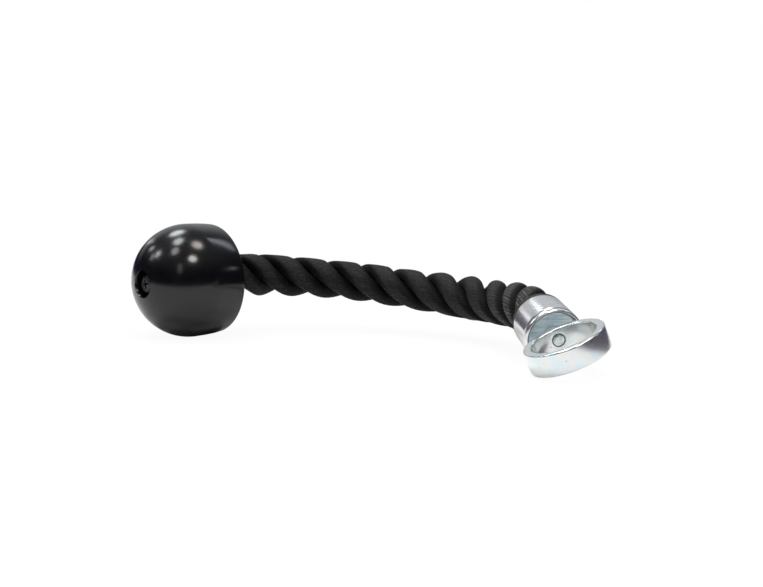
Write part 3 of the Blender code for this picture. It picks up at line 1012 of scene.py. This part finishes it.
fuzz = add_node(
    tree,
    "ShaderNodeTexNoise",
    inputs={
        "Vector": add_node(tree, "ShaderNodeTexCoord").outputs["Object"],
        "Scale": 1 / (1.3 * MM),
        "Detail": 5.0,
        "Roughness": 0.7,
    },
).outputs["Fac"]
streaks = add_node(
    tree, "ShaderNodeMath", {"operation": "MULTIPLY_ADD"}, {0: filaments, 1: 0.5, 2: fuzz}
).outputs["Value"]
mixed = add_node(
    tree, "ShaderNodeMath", {"operation": "MULTIPLY_ADD"}, {0: faded, 1: 0.4, 2: streaks}
).outputs["Value"]
crest_shade = ramp(tree, mixed, [(0.72, "0D0D0E"), (0.95, "181819"), (1.0, "28272A")])
end_shade = ramp(tree, mixed, [(0.72, "161515"), (0.95, "353333"), (1.0, "605B5A")])
toward_end = add_node(
    tree,
    "ShaderNodeMapRange",
    inputs={
        "Value": add_node(tree, "ShaderNodeSeparateXYZ", inputs={"Vector": along}).outputs["X"],
        "From Min": DUSTY[0],
        "From Max": DUSTY[1],
    },
).outputs["Result"]
on_crest = add_node(
    tree,
    "ShaderNodeMix",
    {"data_type": "RGBA"},
    {"Factor": toward_end, "A": crest_shade, "B": end_shade},
).outputs["Result"]
# The grooves and the gaps between the yarns get a near-black colour as painted shade
out_of_groove_shade = add_node(tree, "ShaderNodeAttribute", {"attribute_name": "out_of_groove_shade"}).outputs["Fac"]
fibre_shade = add_node(
    tree,
    "ShaderNodeMix",
    {"data_type": "RGBA"},
    {"Factor": out_of_groove_shade, "A": hex_colour("030303"), "B": on_crest},
).outputs["Result"]
tree.links.new(fibre_shade, shader.inputs["Base Color"])
tree.links.new(
    add_node(
        tree,
        "ShaderNodeBump",
        inputs={"Height": streaks, "Strength": 0.8, "Distance": 0.35 * MM},
    ).outputs["Normal"],
    shader.inputs["Normal"],
)
rope.data.materials.append(fibre)
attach(rope, "rope_handle")
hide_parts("rope")
print(fibre.name, len(tree.nodes), "nodes, cord", round(float(rope_run[-1]), 4), "m")

# %% [markdown]
# ## What is hidden inside
#
# The plug, the opened strands, the resin and the dished washer stay as the solids that
# were loaded. They never show, but they get real finishes for whoever takes it apart.

# %% Hidden pieces


def mottled(name, low, high, roughness, grain_mm, metallic=0.0):
    """A plain finish whose colour wanders between low and high."""
    made, tree, shader = new_material(name, Roughness=roughness, Metallic=metallic)
    place = add_node(tree, "ShaderNodeTexCoord").outputs["Object"]
    cloud = add_node(
        tree,
        "ShaderNodeTexNoise",
        inputs={"Vector": place, "Scale": 1 / (grain_mm * MM), "Detail": 4.0},
    ).outputs["Fac"]
    tree.links.new(ramp(tree, cloud, [(0.35, low), (0.68, high)]), shader.inputs["Base Color"])
    bump = add_node(
        tree, "ShaderNodeBump", inputs={"Height": cloud, "Strength": 0.3, "Distance": 0.1 * MM}
    ).outputs["Normal"]
    tree.links.new(bump, shader.inputs["Normal"])
    return made


hidden = {
    "wedge_plug": mottled("moulded_nylon", "C9C2A8", "DAD4BC", 0.45, 3.0),
    "splayed_rope_end": mottled("opened_black_fibre", "19191A", "2E2E30", 0.8, 0.9),
    "socket_resin": mottled("cast_resin", "7A5A2E", "93713F", 0.25, 4.0),
    "seat_washer": mottled("hardened_steel", "8A8A86", "A2A29C", 0.35, 2.0, 1.0),
}
for node, finish in hidden.items():
    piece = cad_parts[node]
    piece.data.materials.clear()
    piece.data.materials.append(finish)
print("hidden pieces:", ", ".join(hidden))

# %% [markdown]
# ## Floor
#
# The photograph is cut out on white, so the camera sees a white floor at strength 1, with
# a small share of the real, lit floor in it near the object, which keeps its shadow.
#
# The floor also shows in the metal and in the ball. They mirror a pale table that ends in
# front of the object, and past its edge a dark, bluish room, which makes the dark patch
# on the ring. So for glossy rays the floor fades to that room past the edge.

# %% Floor
TABLE_ENDS = (-0.19, -0.38)
ALL_WHITE = (0.18, 0.45)
SHARE_OF_WHITE = 0.94
DARK_ROOM = "352A48"
bpy.ops.object.select_all(action="DESELECT")
bpy.ops.mesh.primitive_plane_add(size=30.0, location=(0, 10.0, 0))
floor = bpy.context.object
floor.name = "floor"
paper, tree, shader = new_material("white_paper", Roughness=0.9, Specular_IOR_Level=0.1)
shader.inputs["Base Color"].default_value = hex_colour("F2F2F2")
ray = add_node(tree, "ShaderNodeLightPath")
ahead = add_node(
    tree,
    "ShaderNodeSeparateXYZ",
    inputs={"Vector": add_node(tree, "ShaderNodeNewGeometry").outputs["Position"]},
).outputs["Y"]
past_edge = add_node(
    tree,
    "ShaderNodeMapRange",
    {"interpolation_type": "SMOOTHSTEP"},
    {
        "Value": ahead,
        "From Min": TABLE_ENDS[0],
        "From Max": TABLE_ENDS[1],
        "To Min": 0.0,
        "To Max": 0.95,
    },
).outputs["Result"]
mirrored = add_node(
    tree,
    "ShaderNodeMath",
    {"operation": "MULTIPLY"},
    {0: ray.outputs["Is Glossy Ray"], 1: past_edge},
).outputs["Value"]
own_white = add_node(
    tree,
    "ShaderNodeMapRange",
    {"interpolation_type": "SMOOTHSTEP"},
    {
        "Value": ahead,
        "From Min": ALL_WHITE[0],
        "From Max": ALL_WHITE[1],
        "To Min": SHARE_OF_WHITE,
        "To Max": 1.0,
    },
).outputs["Result"]
share = add_node(
    tree,
    "ShaderNodeMath",
    {"operation": "MULTIPLY_ADD"},
    {0: ray.outputs["Is Camera Ray"], 1: own_white, 2: mirrored},
).outputs["Value"]
glow_colour = add_node(
    tree,
    "ShaderNodeMix",
    {"data_type": "RGBA"},
    {"Factor": ray.outputs["Is Camera Ray"], "A": hex_colour(DARK_ROOM), "B": (1, 1, 1, 1)},
).outputs["Result"]
glow = add_node(tree, "ShaderNodeEmission", inputs={"Color": glow_colour})
mix = add_node(
    tree,
    "ShaderNodeMixShader",
    inputs={0: share, 1: shader.outputs["BSDF"], 2: glow.outputs["Emission"]},
)
tree.links.new(mix.outputs["Shader"], tree.nodes["Material Output"].inputs["Surface"])
floor.data.materials.append(paper)
print("floor:", paper.name, len(tree.nodes), "nodes")

# %% [markdown]
# ## Light
#
# The ball shows how it was lit: a dark room with a pale wall high up behind it and a
# dozen small lamps overhead. The camera, and rays that pass through things, see plain
# white in place of that room.
#
# The lamps' places were worked out from where they mirror in the ball: a mirror turns a
# ray by twice the angle of its surface, and the ball's shape is known. Each lamp is 2 m
# away along that ray, as wide as its spot asks for. Two large fills add the room's soft
# light, and they don't mirror, so that they put no spots of their own on the metal.

# %% World
world = bpy.data.worlds.new("studio")
bpy.context.scene.world = world
world.use_nodes = True
tree = world.node_tree
tree.nodes.clear()
ray = add_node(tree, "ShaderNodeLightPath")
heading = add_node(tree, "ShaderNodeTexCoord").outputs["Generated"]
parts = add_node(tree, "ShaderNodeSeparateXYZ", inputs={"Vector": heading})


def step_up(value, low, high):
    """0 below low, 1 above high, and smooth between."""
    return add_node(
        tree,
        "ShaderNodeMapRange",
        {"interpolation_type": "SMOOTHSTEP"},
        {"Value": value, "From Min": low, "From Max": high},
    ).outputs["Result"]


room = ramp(
    tree,
    parts.outputs["Z"],
    [(0.0, "33284A"), (0.34, "2C2438"), (0.56, "6A6D72"), (0.75, "8A8C90")],
)
high_behind = add_node(
    tree,
    "ShaderNodeMath",
    {"operation": "MULTIPLY"},
    {0: step_up(parts.outputs["Y"], 0.55, 0.8), 1: step_up(parts.outputs["Z"], 0.12, 0.3)},
).outputs["Value"]
straight_behind = step_up(parts.outputs["Y"], 0.93, 0.97)
for factor, colour in ((high_behind, "CCD0D4"), (straight_behind, "BCBCBE")):
    room = add_node(
        tree,
        "ShaderNodeMix",
        {"data_type": "RGBA"},
        {"Factor": factor, "A": room, "B": hex_colour(colour)},
    ).outputs["Result"]
dim = add_node(tree, "ShaderNodeBackground", inputs={"Color": room, "Strength": 1.0})
white = add_node(tree, "ShaderNodeBackground", inputs={"Color": (1, 1, 1, 1), "Strength": 1.0})
seen = add_node(
    tree,
    "ShaderNodeMath",
    {"operation": "MAXIMUM"},
    {0: ray.outputs["Is Camera Ray"], 1: ray.outputs["Is Transmission Ray"]},
).outputs["Value"]
both = add_node(
    tree,
    "ShaderNodeMixShader",
    inputs={0: seen, 1: dim.outputs["Background"], 2: white.outputs["Background"]},
)
add_node(tree, "ShaderNodeOutputWorld", inputs={"Surface": both.outputs["Shader"]})
print("world:", len(tree.nodes), "nodes")

# %% Lamps
# What the lamps face: a spot by the ball's middle
AIM = Vector((-0.11, 0.07, 0.04))


def lamp(name, at, across, wide, tall, radiance, colour="FFFFFF"):
    """A soft box that faces the object, with its radiance as it mirrors in it."""
    data = bpy.data.lights.new(name, "AREA")
    data.shape = "ELLIPSE"
    data.size = wide
    data.size_y = tall
    data.energy = radiance * math.pi * wide * tall
    data.color = hex_colour(colour)[:3]
    thing = bpy.data.objects.new(name, data)
    bpy.context.scene.collection.objects.link(thing)
    thing.matrix_world = frame_matrix(at, Vector(at) - AIM, across)
    return thing


# name, place, the direction of its width, width, height, radiance, colour
OVERHEAD = (
    ("lamp_a", (-0.63, 1.07, 1.71), (0.71, -0.47, 0.52), 0.50, 0.65, 8.6, "F6FFFF"),
    ("lamp_b", (-0.60, 0.17, 2.00), (0.91, -0.32, 0.25), 0.48, 0.65, 9.4, "F4FAFF"),
    ("lamp_c", (-0.79, -0.60, 1.83), (0.90, -0.39, 0.20), 0.43, 0.58, 6.5, "F2ECEC"),
    ("lamp_d", (0.42, -0.08, 1.99), (0.86, 0.46, -0.20), 0.56, 0.60, 10.1, "FFF6F0"),
    ("lamp_e", (0.33, -1.17, 1.59), (0.96, 0.26, -0.06), 0.52, 0.48, 13.0, "FFF8F4"),
    ("lamp_f", (-1.62, -0.03, 1.39), (0.39, -0.84, 0.39), 0.26, 0.39, 12.2),
    ("lamp_g", (-1.58, 0.85, 1.18), (-0.04, -0.84, 0.55), 0.43, 0.22, 3.6),
    ("lamp_h", (-1.81, 0.19, 1.14), (0.18, -0.90, 0.39), 0.22, 0.28, 5.8),
    ("lamp_i", (1.02, 0.84, 1.53), (0.83, -0.26, -0.49), 0.97, 0.28, 2.9, "E4E8F8"),
    ("lamp_j", (-0.48, -1.66, 1.05), (0.98, -0.18, 0.05), 0.30, 0.71, 1.3),
    ("lamp_k", (-1.18, 1.59, 0.82), (-0.39, -0.61, 0.69), 0.97, 0.17, 1.1),
    ("lamp_l", (1.83, 0.01, 0.65), (0.30, 0.07, -0.95), 0.09, 0.15, 5.8),
)
for row in OVERHEAD:
    lamp(*row)
FILLS = (("overhead_fill", (0.0, 0.1, 2.6), 3.0, 0.25), ("front_fill", (-1.5, -1.9, 1.1), 1.6, 1.1))
for name, at, wide, radiance in FILLS:
    fill = lamp(name, at, (1, 0, 0), wide, wide, radiance)
    fill.visible_glossy = False

# %% View transform
bpy.context.scene.view_settings.view_transform = "Standard"
